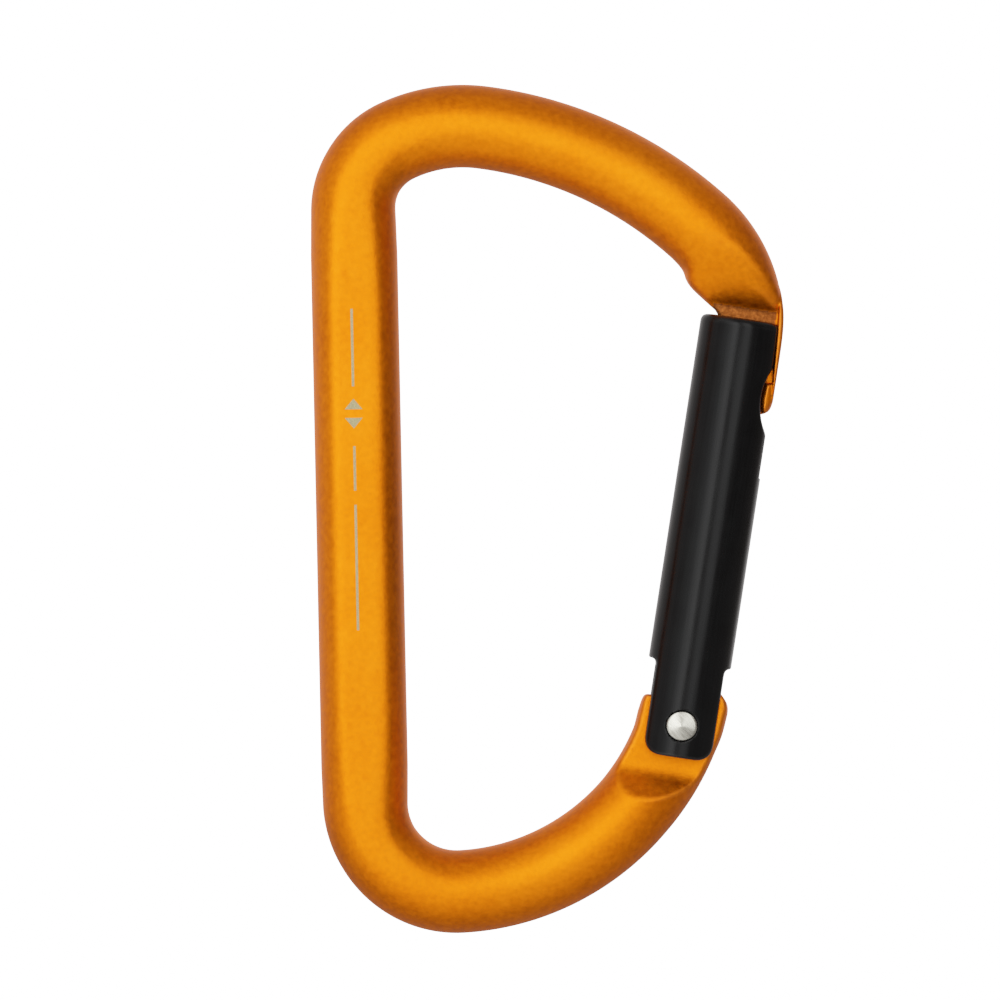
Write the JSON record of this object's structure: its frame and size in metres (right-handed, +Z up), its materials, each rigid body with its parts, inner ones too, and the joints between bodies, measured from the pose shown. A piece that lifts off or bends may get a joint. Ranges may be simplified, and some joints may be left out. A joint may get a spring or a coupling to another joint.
{
  "type": "snap-gate carabiner",
  "caption": "D-shaped accessory carabiner with a round bar, pressed spine and sprung straight gate that latches on a T-shaped nose.",
  "frame": {"origin": "crown of the top basket: the highest point of the bar's inner side, in the middle of its thickness, where a rope or sling carries the part", "axes": "+Z up along the load line from the bottom basket to the top one, +X from the spine towards the gate, +Y through the thickness away from the front face"},
  "size_m": [0.0444, 0.0078, 0.0799],
  "materials": {
    "anodised_body": "satin orange anodised over a blasted surface",
    "anodised_gate": "satin black anodised",
    "rivet_steel": "turned and peened stainless steel",
    "spring_wire": "drawn spring wire",
    "plunger_steel": "turned steel"
  },
  "bodies": {
    "frame": {"body": "anodised_body", "pivot_rivet": "rivet_steel"},
    "gate_arm": {"gate": "anodised_gate", "return_spring": "spring_wire"},
    "plunger_pin": {"plunger": "plunger_steel"}
  },
  "joints": [
    {"name": "gate_hinge", "type": "hinge", "parent": "frame", "child": "gate_arm", "pos_m": [0.02165, 0, -0.05305], "axis": [0, -1, 0], "range_deg": [0, 26], "stiffness_Nm_per_rad": 0.05, "springref_deg": -45.84},
    {"name": "plunger_slide", "type": "slide", "parent": "gate_arm", "child": "plunger_pin", "axis": [0.1719, 0, 0.9851], "range_m": [0, 0.0007], "deforming": ["return_spring"]}
  ],
  "couplings": [
    {"joint": "plunger_slide", "follows": "gate_hinge", "m_per_rad": 0.0014}
  ]
}
